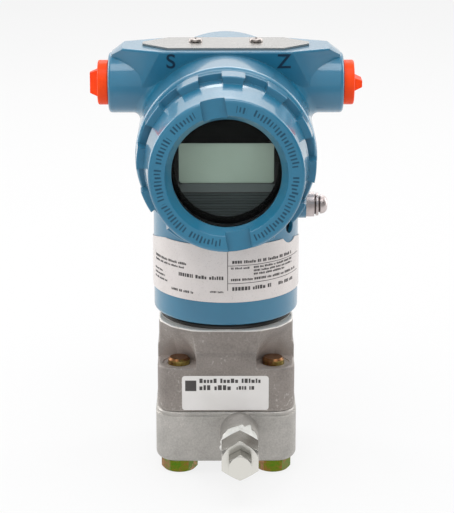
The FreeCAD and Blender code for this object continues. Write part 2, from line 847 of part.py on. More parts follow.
# Nameplate with two slots that open to the rear, so that it slides forward off its loosened screws
def nameplate():
    quarter = [V(plate_front_half, plate_half_depth, plate_low),
               V(plate_half_length, plate_end_half, plate_low)]
    points = quarter + [V(p.x, -p.y, plate_low) for p in reversed(quarter)]
    points += [V(-p.x, p.y, plate_low) for p in reversed(points)]
    plate = polygon_face(points).extrude(V(0, 0, plate_thickness))
    slot_half = plate_screw_radius + hole_clearance
    cuts = []
    for side in (-1, 1):
        x = side * plate_screw_x
        cuts.append(rod(slot_half, V(x, plate_screw_y, plate_low), V(x, plate_screw_y, plate_top)))
        cuts.append(Part.makeBox(2 * slot_half, plate_half_depth, plate_thickness,
                                 V(x - slot_half, plate_screw_y, plate_low)))
    return plate.cut(cuts)


def nameplate_screws():
    screws = []
    low = pad_top - plate_screw_depth
    under_head = plate_top + free_clearance
    for side in (-1, 1):
        x = side * plate_screw_x
        seat = V(x, plate_screw_y, under_head)
        shank = rod(plate_screw_radius, V(x, plate_screw_y, low), seat)
        head = pan_screw(plate_screw_head_radius, plate_screw_head, seat, V(0, 0, 1))
        screws.append(shank.fuse(head).removeSplitter())
    return Part.makeCompound(screws)


def button(side):
    high = pad_top - button_recess
    x = side * button_x
    return rod(button_radius, V(x, button_y, high - button_height), V(x, button_y, high))


def button_spring(side):
    high = pad_top - button_recess - button_height
    x = side * button_x
    return tube(spring_outer_radius, spring_inner_radius, V(x, button_y, high - spring_height),
                V(x, button_y, high))


# Conduit plugs: a threaded shank, a round collar and a tapered finger wing
def wing_section(size, x, turned):
    width, thick = size
    if turned:
        width, thick = thick, width
    y = thick / 2
    low = conduit_height - width / 2
    high = conduit_height + width / 2
    return Part.makePolygon([V(x, -y, low), V(x, y, low), V(x, y, high), V(x, -y, high), V(x, -y, low)])


def conduit_plug(side, turned):
    face = side * boss_reach
    collar_end = face + side * plug_collar_length
    seat = face + side * free_clearance
    shank = rod(conduit_radius - running_clearance, V(face - side * plug_shank_length, 0, conduit_height),
                V(collar_end - side * plug_collar_round, 0, conduit_height))
    collar = rod(plug_collar_radius, V(seat, 0, conduit_height), V(collar_end, 0, conduit_height))
    rim = max(collar.Edges, key=lambda edge: side * edge.CenterOfMass.x)
    collar = collar.makeFillet(plug_collar_round, [rim])
    wing_root = wing_section(plug_wing_base, collar_end - side * plug_collar_round, turned)
    wing_end = wing_section(plug_wing_tip, collar_end + side * plug_wing_height, turned)
    wing = Part.makeLoft([wing_root, wing_end], True, True)
    return shank.fuse([collar, wing]).removeSplitter()


# Ground screw and rotation lock
def ground_washers():
    washers = []
    x = ground_boss_reach
    for radius, thickness in ground_stack:
        washers.append(tube(radius, ground_shank_radius + hole_clearance, ground_point(x),
                            ground_point(x + thickness)))
        x += thickness
    return Part.makeCompound(washers)


def ground_screw():
    head_at = ground_boss_reach + sum(thickness for radius, thickness in ground_stack)
    shank_end = ground_boss_reach - ground_shank_length
    shank = rod(ground_shank_radius, ground_point(shank_end), ground_point(head_at))
    head = pan_screw(ground_head_radius, ground_head_length, ground_point(head_at), V(1, 0, 0))
    return shank.fuse(head).removeSplitter()


def rotation_set_screw():
    end = skirt_radius - lock_screw_sink
    return rod(lock_screw_radius, lock_point(end - lock_screw_length), lock_point(end))


os.makedirs("parts", exist_ok=True)

save("process_flange", process_flange())
save("flange_seal", flange_seal())
save("flange_bolts", flange_bolts())
save("sensor_module", sensor_module())
save("neck_o_ring", neck_ring())
save("sensor_capsule", sensor_capsule())
save("isolating_diaphragm", diaphragm())
save("module_sticker", module_sticker())
save("vent_seat", vent_seat())
save("thread_tape", thread_tape())
save("vent_ball", vent_ball())
save("vent_stem", vent_stem())

save("electronics_housing", electronics_housing())
save("label_band", label_band())
save("electronics_module", electronics_module())
save("display_board", display_board())
save("display_posts", display_posts())
save("display_bezel", display_bezel())
save("lcd_panel", lcd_panel())
save("terminal_block", terminal_block())
save("terminal_screws", terminal_screws())
save("terminal_fixings", terminal_fixings())
save("inner_ground_screw", inner_ground_screw())
save("ground_washers", ground_washers())
save("ground_screw", ground_screw())
save("rotation_set_screw", rotation_set_screw())

save("nameplate", nameplate())
save("nameplate_screws", nameplate_screws())
save("span_button", button(-1))
save("zero_button", button(1))
save("span_spring", button_spring(-1))
save("zero_spring", button_spring(1))
save("conduit_plug_left", conduit_plug(-1, False))
save("conduit_plug_right", conduit_plug(1, True))

glass_front = face_reach - window_recess - gasket_thickness
save("display_cover", display_cover())
save("glass_gasket", glass_stack(face_reach - window_recess, gasket_thickness, glass_radius, window_radius))
save("window_glass", glass_stack(glass_front, glass_thickness, glass_radius, 0))
retainer_front = glass_front - glass_thickness
save("glass_retainer", glass_stack(retainer_front, retainer_length, glass_radius, retainer_inner_radius))
save("display_cover_o_ring", cover_ring(-1))
save("terminal_cover", terminal_cover())
save("terminal_cover_o_ring", cover_ring(1))
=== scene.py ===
import math
import random

import bmesh
import bpy
from mathutils import Color, Matrix, Vector, noise
from mathutils.bvhtree import BVHTree


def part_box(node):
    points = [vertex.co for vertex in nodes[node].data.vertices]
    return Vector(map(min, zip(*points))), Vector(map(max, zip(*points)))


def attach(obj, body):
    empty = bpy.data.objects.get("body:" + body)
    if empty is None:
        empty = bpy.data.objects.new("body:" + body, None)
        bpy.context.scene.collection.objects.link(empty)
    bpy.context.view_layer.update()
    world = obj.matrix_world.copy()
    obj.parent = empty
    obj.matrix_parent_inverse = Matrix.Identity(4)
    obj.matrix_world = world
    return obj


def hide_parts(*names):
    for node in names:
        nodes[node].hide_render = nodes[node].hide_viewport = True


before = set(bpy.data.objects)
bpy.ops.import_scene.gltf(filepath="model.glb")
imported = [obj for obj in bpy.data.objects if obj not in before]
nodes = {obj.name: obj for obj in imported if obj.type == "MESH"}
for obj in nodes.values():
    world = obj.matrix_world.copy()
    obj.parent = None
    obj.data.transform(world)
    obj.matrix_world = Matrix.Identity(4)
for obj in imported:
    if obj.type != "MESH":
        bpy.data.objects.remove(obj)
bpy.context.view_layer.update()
scene = bpy.context.scene
mm = 0.001

# Places read from the solids
cover_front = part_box("display_cover")[0].y
glass_low, glass_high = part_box("window_glass")
barrel_axis = (glass_low.z + glass_high.z) / 2
panel_low, panel_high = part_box("lcd_panel")
band_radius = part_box("label_band")[1].x
sticker_low, sticker_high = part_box("module_sticker")
tape_low, tape_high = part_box("thread_tape")
bolts_low, bolts_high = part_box("flange_bolts")
washers_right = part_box("ground_washers")[1].x

# Threads that the solids leave plain
thread_radius = 36.0 * mm
thread_start = 40.0 * mm
thread_end = 50.0 * mm
thread_pitch = 2.0 * mm
thread_blur = 0.1 * mm
bore_over = 0.2 * mm
spigot_under = 0.4 * mm
plug_seat = 58.2 * mm
plug_pitch = 1.8 * mm

# Other places that a finish follows
module_rim = 70.6 * mm
ground_joints = (washers_right - 1.65 * mm, washers_right + 0.35 * mm)
bolt_ends = bolts_high.z - 12.0 * mm

# Bars round the display cover, with their pitch and groups in degrees from the top
bar_pitch = 3.2
bar_groups = [(8, 17), (22, 84), (89, 156), (-175, -147), (-143, -114), (-111, -84), (-81, -56), (-51, -27)]
group_blur = 0.3
bar_radius = 32.0 * mm
bar_half = 2.1 * mm
bar_blur = 0.2 * mm
bar_seeds = (0.5, 71.5, 203.5)

# A bar's least half width, what chance adds to it and its blur, in shares of the pitch
bar_width, bar_widening, bar_edge = 0.14, 0.1, 0.06

# Sizes of the pieces made here
weld = 0.001 * mm
sharp_angle = math.radians(35)
ink_depth = 0.05 * mm
mark_size = 10.6 * mm
mark_boldness = 0.12 * mm
mark_depth = 0.08 * mm
mark_height = 203.0 * mm
round_steps = 40


class Wire:
    """A shader socket that can stand in a sum: each operator adds its Math node."""

    def __init__(self, socket):
        self.socket = socket

    def node(self, kind, settings, links, output=0):
        """One output of a new node: settings are made first, then the values or links of its sockets."""
        made = self.socket.id_data.nodes.new(kind)
        for name, value in settings.items():
            if name == "stops":
                set_stops(made.color_ramp, value)
            else:
                setattr(made, name, value)
        fit(made, links)
        return Wire(made.outputs[output])

    def maths(self, operation, *terms):
        return self.node("ShaderNodeMath", {"operation": operation}, dict(enumerate(terms)))

    def __abs__(self):
        return self.maths("ABSOLUTE", self)

    def __add__(self, other):
        return self.maths("ADD", self, other)

    def __radd__(self, other):
        return self.maths("ADD", other, self)

    def __sub__(self, other):
        return self.maths("SUBTRACT", self, other)

    def __rsub__(self, other):
        return self.maths("SUBTRACT", other, self)

    def __mul__(self, other):
        return self.maths("MULTIPLY", self, other)

    def __rmul__(self, other):
        return self.maths("MULTIPLY", other, self)

    def __pow__(self, other):
        return self.maths("POWER", self, other)


def fit(node, values):
    """Set or link a node's sockets."""
    for name, value in values.items():
        if isinstance(value, Wire):
            node.id_data.links.new(value.socket, node.inputs[name])
        else:
            node.inputs[name].default_value = value


def set_stops(ramp, stops):
    while len(ramp.elements) < len(stops):
        ramp.elements.new(1.0)
    for element, (position, colour) in zip(ramp.elements, stops):
        element.position = position
        element.color = paint_colour(colour)


def paint_colour(steps):
    """A colour as it is seen, in steps of 255, for a shader."""
    seen = Color([step / 255 for step in steps])
    return (*seen.from_srgb_to_scene_linear(), 1.0)


def new_finish(name):
    material = bpy.data.materials.new(name)
    material.use_nodes = True
    tree = material.node_tree
    coordinates = tree.nodes.new("ShaderNodeTexCoord")
    return material, tree.nodes["Principled BSDF"], Wire(coordinates.outputs["Object"])


def part_along(vector, axis):
    """A vector's part along X, Y or Z."""
    return vector.node("ShaderNodeSeparateXYZ", {}, {"Vector": vector}, axis)


def facing(place):
    return place.node("ShaderNodeNewGeometry", {}, {}, "Normal")


def ray(place, kind):
    return place.node("ShaderNodeLightPath", {}, {}, kind)


def highest(first, second):
    return first.maths("MAXIMUM", first, second)


def sine(turn):
    return turn.maths("SINE", turn)


# The values that a grain mostly has
grain_low, grain_high = 0.3, 0.7


def grain(place, scale, detail=3.0, rough=0.5):
    """Noise that repeats about so many times in a metre."""
    links = {"Vector": place, "Scale": scale, "Detail": detail, "Roughness": rough}
    return place.node("ShaderNodeTexNoise", {}, links)


def chance(cell, seed):
    """A random value for each cell."""
    return cell.node("ShaderNodeTexWhiteNoise", {"noise_dimensions": "1D"}, {"W": cell + seed})


def stretched(place, scale):
    return place.node("ShaderNodeMapping", {}, {"Vector": place, "Scale": scale})


# Where a Mix node has its colour sockets
mix_factor, mix_first, mix_second, mix_result = 0, 6, 7, 2


def between(factor, first, second):
    """A mix of two colours, each a wire or a colour as it is seen."""
    first, second = (end if isinstance(end, Wire) else paint_colour(end) for end in (first, second))
    links = {mix_factor: factor, mix_first: first, mix_second: second}
    return factor.node("ShaderNodeMix", {"data_type": "RGBA"}, links, mix_result)


def ramp(factor, stops):
    return factor.node("ShaderNodeValToRGB", {"stops": stops}, {0: factor})


def span(factor, low, high, start=0.0, end=1.0):
    """From start to end while the factor goes from low to high, and level outside."""
    links = {"Value": factor, "From Min": low, "From Max": high, "To Min": start, "To Max": end}
    return factor.node("ShaderNodeMapRange", {}, links)


def falling(factor, low, high, start=1.0):
    return span(factor, low, high, start, 0.0)


def within(factor, low, high, blur):
    """One between low and high, nothing outside, with a blur inside each end."""
    return span(factor, low, low + blur) * falling(factor, high - blur, high)


def spread(factor, start=0.0, end=1.0):
    """From start to end over the values that a grain mostly has."""
    return span(factor, grain_low, grain_high, start, end)


def soft_edges(place, radius):
    return place.node("ShaderNodeBevel", {"samples": 4}, {"Radius": radius})


# Edges painted bright: partly wear, partly a painted highlight
def edge_wear_and_highlight(place, radius, most=0.7):
    """Most on sharp outer and inner edges, nothing on the flat."""
    links = {0: facing(place), 1: soft_edges(place, radius)}
    flatness = place.node("ShaderNodeVectorMath", {"operation": "DOT_PRODUCT"}, links, "Value")
    sharp, flat = 0.9, 0.995
    return falling(flatness, sharp, flat, most)


def bumped(height, strength, depth, normal):
    links = {"Height": height, "Strength": strength, "Distance": depth, "Normal": normal}
    return height.node("ShaderNodeBump", {}, links)


def mix_surface(material, factor, shader, other):
    """Show another shader in place of the finish's own, by a factor."""
    mixed = factor.node("ShaderNodeMixShader", {}, {0: factor, 1: Wire(shader.outputs["BSDF"]), 2: other})
    fit(material.node_tree.nodes["Material Output"], {"Surface": mixed})


def barrel_distance(place):
    """How far a point is from the axis of the barrel and its covers."""
    across = part_along(place, "X")
    rise = part_along(place, "Z") - barrel_axis
    return (across * across + rise * rise) ** 0.5


def barrel_turn(place):
    """The angle round the barrel's axis, from the top towards +X."""
    return place.maths("ARCTAN2", part_along(place, "X"), part_along(place, "Z") - barrel_axis)


# Colours as they are seen
enamel_deep, enamel_light = (23, 102, 134), (31, 113, 145)
bare_thread = (166, 168, 170)
bar_ink = (0, 64, 90)
wear_and_highlight_metal = (214, 209, 202)
painted_hollow_light_colour = (212, 202, 196)
rim_highlight = (226, 222, 216)
joint_shadow = (52, 50, 48)
joint_shade = (62, 50, 48)
head_films = [(0.36, (172, 128, 92)), (0.42, (78, 122, 24)), (0.52, (112, 116, 32)),
              (0.58, (138, 98, 52)), (0.66, (164, 124, 78))]
end_films = [(0.42, (182, 166, 96)), (0.52, (150, 126, 66)), (0.62, (116, 78, 48)), (0.74, (138, 98, 62))]
moulding_black, moulding_cheek = (8, 9, 9), (78, 78, 76)
apron_grey, apron_rib = (76, 84, 84), (36, 40, 40)
sill_grey = (101, 109, 108)
glass_tint = (246, 250, 249)
crystal_deep, crystal_light = (164, 184, 168), (174, 194, 179)
floor_deep, floor_light = (236, 236, 236), (242, 242, 242)


# Finishes
def ring_bars(place):
    """Short dark bars in groups round the face of the display cover, uneven in width and length."""
    angle = barrel_turn(place) * (180 / math.pi)
    step = angle * (1 / bar_pitch)
    cell = place.maths("FLOOR", step)
    width_draw, inner_draw, outer_draw = (chance(cell, seed) for seed in bar_seeds)
    half_width = bar_width + bar_widening * width_draw
    across = falling(abs(step - cell - 0.5), half_width, half_width + bar_edge)
    inner = bar_radius - bar_half * (0.5 + 0.5 * inner_draw)
    outer = bar_radius + bar_half * (0.5 + 0.5 * outer_draw)
    tall = within(barrel_distance(place), inner, outer, bar_blur)
    groups = [within(angle, first, last, group_blur) for first, last in bar_groups]
    front = falling(part_along(place, "Y"), cover_front + 0.05 * mm, cover_front + 0.15 * mm)
    return across * tall * sum(groups[1:], groups[0]) * front


def barrel_thread(place, bored):
    """One on the covers' thread, in the housing's bores or on the spigots, and the thread's ridges."""
    along = part_along(place, "Y")
    cut = falling(abs(along), thread_end - thread_blur, thread_end)
    if bored:
        outside = thread_radius + bore_over
        cut = cut * span(abs(along), thread_start - thread_blur, thread_start)
        cut = cut * falling(barrel_distance(place), outside, outside + thread_blur)
    else:
        inside = thread_radius - spigot_under
        cut = cut * span(barrel_distance(place), inside, inside + thread_blur)
    ridges = sine(along * (math.tau / thread_pitch) + barrel_turn(place))
    return cut, ridges


def cast_paint(name, rough, edge_radius, bored=False, bars=False):
    """Thick enamel on a casting: slow drifts of shade, orange peel, rounded edges and a bare thread."""
    material, shader, place = new_finish(name)
    drift = grain(place, scale=35.0, detail=4.0)
    peel = grain(place, scale=900.0, detail=2.0)
    speck = grain(place, scale=2600.0, detail=1.0)
    thread, ridges = barrel_thread(place, bored)
    colour = between(spread(drift), enamel_deep, enamel_light)
    colour = between(thread, colour, bare_thread)
    coat = 0.8
    matt = thread
    if bars:
        ink = ring_bars(place)
        colour = between(ink, colour, bar_ink)
        matt = matt + ink
    edge = bumped(ridges * thread, strength=1.0, depth=0.5 * mm, normal=soft_edges(place, edge_radius))
    fit(shader, {
        "Base Color": colour,
        "Metallic": thread * 0.9,
        "Roughness": span(peel, 0.2, 0.8, rough - 0.05, rough + 0.06),
        "Coat Weight": coat - matt * coat,
        "Coat Roughness": 0.07,
        "Normal": bumped(peel + speck * 0.4, strength=0.22, depth=0.05 * mm, normal=edge),
    })
    return material


def cast_metal(name, dark, light, metal, rough, pit_scale, pit_depth, painted_hollow_light=0.0, rim=None):
    """Blasted cast steel: a mottled grey with small pits and bright flecks, its edges painted bright,
    partly as wear and partly as a painted highlight.
    Its hollows can be painted paler, a painted light against their shade, and its rim can carry a painted
    highlight under a thin painted shadow."""
    material, shader, place = new_finish(name)
    drift = grain(place, scale=60.0, detail=5.0)
    pits = grain(place, scale=pit_scale, detail=4.0, rough=0.65)
    smear = grain(stretched(place, (0.5, 1.0, 1.0)), scale=130.0, detail=2.0)
    tone = span(drift * 0.35 + smear * 0.2 + pits * 0.45, 0.34, 0.66)
    flecks = span(grain(place, scale=640.0, detail=1.0), 0.58, 0.72, 0.0, 0.4) * span(drift, 0.48, 0.62)
    # Edges painted pale, partly as wear and partly as a painted highlight along them
    wear_and_highlight = edge_wear_and_highlight(place, radius=1.2 * mm) * span(drift, 0.4, 0.65)
    colour = between(highest(wear_and_highlight, flecks), between(tone, dark, light), wear_and_highlight_metal)
    # Paler where ambient occlusion finds the casting shut in: painted light that lifts the shade in its
    # hollows
    if painted_hollow_light:
        settings = {"samples": 4, "only_local": True}
        open_sky = place.node("ShaderNodeAmbientOcclusion", settings, {"Distance": 16.0 * mm}, "AO")
        colour = between(falling(open_sky, 0.35, 0.85, painted_hollow_light), colour, painted_hollow_light_colour)
    # A painted highlight on the rim's chamfer, with a thin painted shadow above it where the housing meets
    # the module
    if rim:
        height = part_along(place, "Z")
        rim_highlight_mask = span(height, rim - 1.0 * mm, rim - 0.7 * mm) * span(tone, 0.0, 0.3, 0.5, 1.0)
        joint = span(height, rim + 0.05 * mm, rim + 0.15 * mm)
        colour = between(joint, between(rim_highlight_mask, colour, rim_highlight), joint_shadow)
    fit(shader, {
        "Base Color": colour,
        "Metallic": metal,
        "Roughness": spread(pits, rough + 0.08, rough - 0.06),
        "Normal": bumped(pits, strength=0.35, depth=pit_depth, normal=soft_edges(place, 0.5 * mm)),
    })
    return material


def machined_steel(name, dark, light, rough, marks, joints=(), front_highlight=None):
    """Turned or milled steel with fine tool marks. It can have painted shade in the joints of a stack along
    X, and a painted highlight on the faces that look to the front."""
    material, shader, place = new_finish(name)
    cuts = grain(stretched(place, marks), scale=1500.0, detail=2.0)
    smear = grain(place, scale=220.0)
    colour = between(spread(smear * 0.75 + cuts * 0.25), dark, light)
    # Painted shade along each joint of the stack
    for joint in joints:
        gap = abs(part_along(place, "X") - joint)
        colour = between(falling(gap, 0.3 * mm, 0.5 * mm, 0.9), colour, joint_shade)
    # Faces that look to the front are painted brighter: a painted highlight
    if front_highlight:
        ahead = part_along(facing(place), "Y")
        colour = between(falling(ahead, -0.6, -0.3), colour, front_highlight)
    fit(shader, {
        "Base Color": colour,
        "Metallic": 1.0,
        "Roughness": spread(grain(place, scale=45.0, detail=0.0), rough - 0.02, rough + 0.03),
        "Normal": bumped(cuts, strength=0.03, depth=0.004 * mm, normal=soft_edges(place, 0.25 * mm)),
    })
    return material


def passivated_zinc(name):
    """Yellow chromate on zinc: green, olive and pink on the bolts' heads, brown and gold on their ends,
    shifted by which way each face looks as a painted sheen.
    """
    material, shader, place = new_finish(name)
    broad = grain(place, scale=130.0, detail=2.0)
    small = grain(place, scale=700.0, detail=2.0)
    slant = span(part_along(place, "X"), bolts_low.x, bolts_high.x, -0.02, 0.03)
    # The film's own patchy colour, shifted by whether a face looks left or right: a painted sheen
    film_and_sheen = broad * 0.5 + small * 0.25 + 0.125 - part_along(facing(place), "X") * 0.08 + slant
    head_colour = ramp(film_and_sheen, head_films)
    # On the ends, faces that look up are painted browner and the sides paler gold: a painted sheen
    end_colour = ramp(film_and_sheen + part_along(facing(place), "Z") * 0.2, end_films)
    upper = span(part_along(place, "Z"), bolt_ends, bolt_ends + 4.0 * mm)
    fine = grain(place, scale=2400.0, detail=2.0)
    fit(shader, {
        "Base Color": between(upper, head_colour, end_colour),
        "Metallic": 0.9,
        "Roughness": spread(fine, 0.26, 0.4),
        "Normal": bumped(fine, strength=0.2, depth=0.02 * mm, normal=soft_edges(place, 0.25 * mm)),
    })
    return material


def moulded_plastic(name, colour, shade, rough, texture_scale, edge_radius, shine=0.5, threaded=False):
    """Moulded plastic or rubber with a fine texture, and on the conduit plugs a thread."""
    material, shader, place = new_finish(name)
    drift = grain(place, scale=90.0)
    texture = grain(place, scale=texture_scale, detail=2.0)
    edge = soft_edges(place, edge_radius)
    if threaded:
        across = part_along(place, "X")
        shank = falling(abs(across), plug_seat - 0.4 * mm, plug_seat - 0.2 * mm)
        ridges = sine(across * (math.tau / plug_pitch))
        edge = bumped(ridges * shank, strength=1.0, depth=0.4 * mm, normal=edge)
    fit(shader, {
        "Base Color": between(spread(drift), shade, colour),
        "Roughness": spread(texture, rough - 0.05, rough + 0.07),
        "Specular IOR Level": shine,
        "Normal": bumped(texture, strength=0.15, depth=0.03 * mm, normal=edge),
    })
    return material


def printed_film(name, colour, shade, rough, metal=0.0, crease_scale=1800.0, crease=0.05, depth=0.02 * mm):
    """Ink, label stock or tape, with its fibres or creases."""
    material, shader, place = new_finish(name)
    drift = grain(place, scale=70.0)
    fibre = grain(place, scale=crease_scale, detail=2.0)
    fit(shader, {
        "Base Color": between(spread(drift), shade, colour),
        "Metallic": metal,
        "Roughness": spread(fibre, rough - 0.04, rough + 0.05),
        "Normal": bumped(fibre, strength=crease, depth=depth, normal=soft_edges(place, 0.1 * mm)),
    })
    return material


def display_moulding(name):
    """Black moulding round the panel, with a paler ribbed apron and a sill under it."""
    material, shader, place = new_finish(name)
    height = part_along(place, "Z")
    foot = panel_low.z
    sill_foot = foot - 2.9 * mm
    sill_top = foot + 1.4 * mm
    rib_pitch = 1.3 * mm
    disc = falling(barrel_distance(place), 24.3 * mm, 24.7 * mm)
    apron = disc * falling(height, sill_foot - 0.3 * mm, sill_foot)
    sill = disc * span(height, sill_foot, sill_foot + 0.5 * mm)
    sill = sill * falling(height, sill_top - 0.4 * mm, sill_top)
    cheeks = disc * falling(height, foot, panel_high.z, 0.5)
    ribs = sine(height * (math.tau / rib_pitch))
    colour = between(cheeks, moulding_black, moulding_cheek)
    colour = between(apron, colour, apron_grey)
    colour = between(sill, colour, sill_grey)
    colour = between(apron * span(ribs, -0.2, 0.9, 0.0, 0.5), colour, apron_rib)
    fit(shader, {
        "Base Color": colour,
        "Roughness": spread(grain(place, scale=1500.0, detail=2.0), 0.5, 0.6),
        "Specular IOR Level": 0.08,
        "Normal": bumped(ribs * apron, strength=0.3, depth=0.1 * mm, normal=soft_edges(place, 0.15 * mm)),
    })
    return material


def clear_glass(name):
    """Toughened glass that lets the lamps light what is behind it."""
    material, shader, place = new_finish(name)
    fit(shader, {
        "Base Color": paint_colour(glass_tint),
        "Roughness": spread(grain(place, scale=50.0), 0.01, 0.04),
        "Transmission Weight": 1.0,
        "IOR": 1.14,
    })
    through = highest(ray(place, "Is Shadow Ray"), ray(place, "Is Diffuse Ray"))
    mix_surface(material, through, shader, place.node("ShaderNodeBsdfTransparent", {}, {}))
    return material


def crystal_panel(name):
    """A blank liquid-crystal panel: grey-green, faintly clouded."""
    material, shader, place = new_finish(name)
    fit(shader, {
        "Base Color": between(spread(grain(place, scale=60.0, detail=2.0)), crystal_deep, crystal_light),
        "Roughness": spread(grain(place, scale=4000.0, detail=1.0), 0.3, 0.4),
    })
    return material


# How far tool marks are drawn out along each axis: a share under one lengthens them
even_marks = (1.0, 1.0, 1.0)
marks_along_x = (0.15, 1.0, 1.0)
marks_along_y = (1.0, 0.15, 1.0)
marks_along_z = (1.0, 1.0, 0.15)
brushed_along_x = (0.05, 1.0, 1.0)

housing_paint = cast_paint("housing_enamel", rough=0.36, edge_radius=0.9 * mm, bored=True)
cover_paint = cast_paint("cover_enamel", rough=0.34, edge_radius=0.5 * mm)
barred_paint = cast_paint("barred_enamel", rough=0.34, edge_radius=0.5 * mm, bars=True)
module_metal = cast_metal("module_casting", (122, 115, 110), (154, 146, 140), metal=0.4, rough=0.5,
                          pit_scale=1100.0, pit_depth=0.05 * mm, painted_hollow_light=0.8, rim=module_rim)
flange_metal = cast_metal("flange_casting", (154, 151, 146), (188, 184, 179), metal=0.5, rough=0.44,
                          pit_scale=1200.0, pit_depth=0.04 * mm)
blackened_steel = machined_steel("blackened_steel", (38, 38, 40), (54, 54, 56), 0.35, even_marks)
bright_steel = machined_steel("bright_steel", (206, 204, 198), (232, 230, 223), 0.24, marks_along_y)
vent_steel = machined_steel("vent_steel", (158, 156, 149), (184, 182, 175), 0.24, marks_along_y,
                            front_highlight=(222, 220, 213))
dull_steel = machined_steel("dull_steel", (168, 160, 156), (194, 186, 181), 0.34, marks_along_z)
ground_steel = machined_steel("ground_steel", (186, 175, 173), (214, 204, 202), 0.42, marks_along_x,
                              joints=ground_joints)
brushed_plate = machined_steel("brushed_plate", (172, 170, 167), (178, 176, 173), 0.26, brushed_along_x)
zinc = passivated_zinc("yellow_zinc")
orange = moulded_plastic("orange_plastic", (244, 74, 10), (238, 60, 5), rough=0.42, texture_scale=1200.0,
                         edge_radius=0.4 * mm, shine=0.2, threaded=True)
black_plastic = moulded_plastic("black_plastic", (34, 35, 36), (24, 25, 26), rough=0.4,
                                texture_scale=1500.0, edge_radius=0.15 * mm)
rubber = moulded_plastic("black_rubber", (30, 30, 30), (20, 20, 20), rough=0.62, texture_scale=900.0,
                         edge_radius=0.1 * mm)
green_board = moulded_plastic("green_board", (32, 92, 58), (26, 78, 48), rough=0.4, texture_scale=800.0,
                              edge_radius=0.1 * mm)
potting = moulded_plastic("potting_resin", (46, 48, 52), (36, 38, 42), rough=0.35, texture_scale=500.0,
                          edge_radius=0.3 * mm)
grey_moulding = moulded_plastic("grey_moulding", (58, 62, 66), (46, 50, 54), rough=0.45,
                                texture_scale=1100.0, edge_radius=0.3 * mm)
mark_ink = printed_film("mark_ink", (4, 46, 72), (3, 40, 62), rough=0.4)
print_ink = printed_film("print_ink", (72, 68, 67), (60, 57, 56), rough=0.45)
band_film = printed_film("band_film", (218, 211, 208), (208, 201, 198), rough=0.3, metal=0.1)
sticker_film = printed_film("sticker_film", (226, 223, 221), (218, 215, 212), rough=0.4)
tape_film = printed_film("thread_tape_film", (232, 231, 226), (212, 211, 206), rough=0.5,
                         crease_scale=700.0, crease=0.8, depth=0.5 * mm)
glass = clear_glass("window_glass_clear")
crystal = crystal_panel("crystal_panel")
bezel_black = display_moulding("display_moulding")

node_finish = {
    housing_paint: ["electronics_housing"],
    cover_paint: ["terminal_cover"],
    barred_paint: ["display_cover"],
    module_metal: ["sensor_module"],
    flange_metal: ["process_flange"],
    bright_steel: ["sensor_capsule", "isolating_diaphragm", "vent_ball", "terminal_screws",
                   "terminal_fixings", "inner_ground_screw", "span_spring", "zero_spring", "display_posts"],
    brushed_plate: ["nameplate"],
    zinc: ["flange_bolts"],
    orange: ["conduit_plug_left", "conduit_plug_right"],
    black_plastic: ["span_button", "zero_button", "glass_retainer"],
    blackened_steel: ["rotation_set_screw"],
    bezel_black: ["display_bezel"],
    vent_steel: ["vent_seat", "vent_stem"],
    dull_steel: ["nameplate_screws"],
    ground_steel: ["ground_washers", "ground_screw"],
    rubber: ["flange_seal", "neck_o_ring", "display_cover_o_ring", "terminal_cover_o_ring", "glass_gasket"],
    green_board: ["display_board"],
    potting: ["electronics_module"],
    grey_moulding: ["terminal_block"],
    band_film: ["label_band"],
    sticker_film: ["module_sticker"],
    tape_film: ["thread_tape"],
    glass: ["window_glass"],
    crystal: ["lcd_panel"],
}
for finish, names in node_finish.items():
    for name in names:
        for slot in nodes[name].material_slots:
            slot.material = finish


# Marks and small fittings
def new_object(name, data):
    made = bpy.data.objects.new(name, data)
    scene.collection.objects.link(made)
    return made


def place_piece(bm, name, body, finish, replaced=()):
    """Close a shape and put it in the scene, riding on a body."""
    bmesh.ops.remove_doubles(bm, verts=bm.verts, dist=weld)
    bmesh.ops.recalc_face_normals(bm, faces=bm.faces)
    mesh = bpy.data.meshes.new(name)
    bm.to_mesh(mesh)
    bm.free()
    mesh.shade_smooth()
    mesh.set_sharp_from_angle(angle=sharp_angle)
    mesh.materials.append(finish)
    piece = new_object(name, mesh)
    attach(piece, body)
    if replaced:
        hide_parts(*replaced)


def patch(bm, low, high, near, far, cuts=0):
    """A thin block of print: low and high are its corners across and up, near and far its depth."""
    size = (high[0] - low[0], far - near, high[1] - low[1])
    middle = ((low[0] + high[0]) / 2, (near + far) / 2, (low[1] + high[1]) / 2)
    shape = Matrix.Translation(middle) @ Matrix.Diagonal((*size, 1.0))
    made = bmesh.ops.create_cube(bm, size=1.0, matrix=shape)
    if cuts:
        edges = dict.fromkeys(edge for vert in made["verts"] for edge in vert.link_edges)
        long_edges = [edge for edge in edges if abs(edge.verts[0].co.x - edge.verts[1].co.x) > size[0] / 2]
        bmesh.ops.subdivide_edges(bm, edges=long_edges, cuts=cuts, use_grid_fill=True)


# Dashes in a group, and the lengths, drops and gaps of dashes in shares of the row's height
group_sizes = (2, 7)
dash_lengths = (0.35, 0.75)
dash_drops = (0.0, 0.0, 0.25)
dash_gap = 0.22
group_gap = 0.8
shortest_rest = 0.3


def dashes(bm, rng, start, end, height, tall, near, far):
    """A row of short blocks in groups, uneven in length and height."""
    reach = start
    left = rng.randint(*group_sizes)
    while reach < end - shortest_rest * tall:
        length = min(rng.uniform(*dash_lengths) * tall, end - reach)
        drop = rng.choice(dash_drops) * tall
        patch(bm, (reach, height), (reach + length, height + tall - drop), near, far)
        left -= 1
        reach += length + (dash_gap if left else group_gap) * tall
        left = left or rng.randint(*group_sizes)


